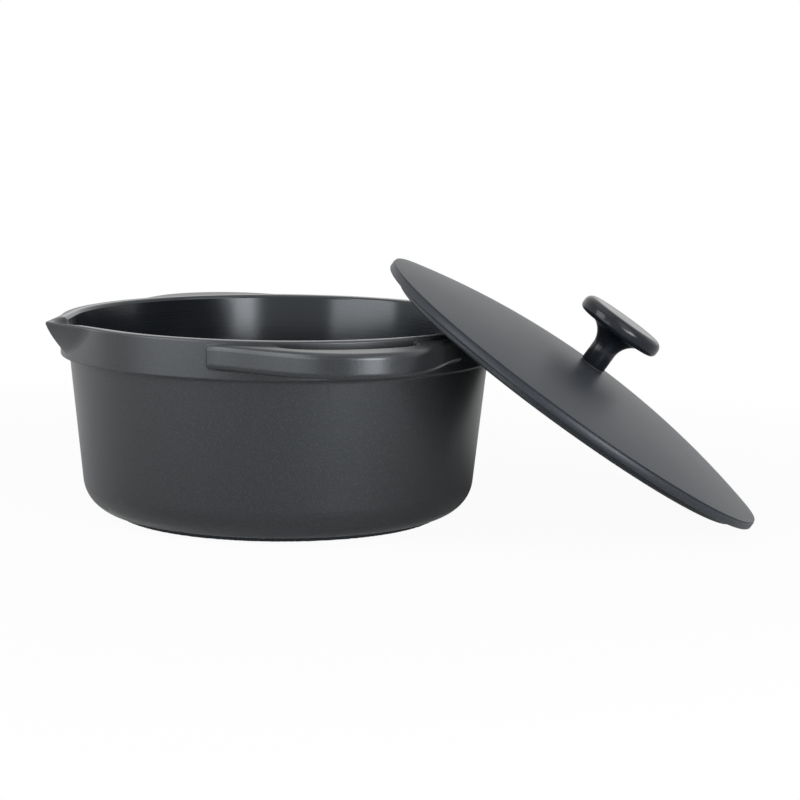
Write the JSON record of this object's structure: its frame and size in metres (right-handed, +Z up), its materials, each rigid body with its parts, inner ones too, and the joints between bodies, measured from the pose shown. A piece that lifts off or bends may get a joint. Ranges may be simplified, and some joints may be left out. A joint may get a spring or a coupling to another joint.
{
  "type": "dutch oven",
  "caption": "Round cast iron pot with pouring lips and cast loop handles, its domed lid with a screwed-on mushroom knob leaning against one lip.",
  "frame": {"origin": "centre of the flat foot that the pot stands on, in the plane of the table", "axes": "+Z up from the table along the pot's axis, +X through the pouring lip that the lid leans on, +Y through a loop handle"},
  "size_m": [0.4147, 0.3697, 0.153],
  "materials": {
    "pot_iron": "matt charcoal enamel with a fine speckle outside, darker satin inside",
    "lid_iron": "matt grey enamel with a fine speckle",
    "knob_phenolic": "smooth black heat-proof moulding, soft gloss",
    "insert_brass": "turned",
    "seal_rubber": "matt",
    "washer_steel": "stamped stainless",
    "screw_steel": "turned stainless"
  },
  "bodies": {
    "pot": {"pot": "pot_iron"},
    "lid": {"lid": "lid_iron", "knob": "knob_phenolic", "knob_insert": "insert_brass", "knob_seal": "seal_rubber", "flat_washer": "washer_steel", "spring_washer": "washer_steel", "knob_screw": "screw_steel"}
  },
  "joints": [
    {"name": "lid_lift", "type": "slide", "parent": "pot", "child": "lid", "axis": [0, 0, 1], "range_m": [0, 0.2]}
  ]
}
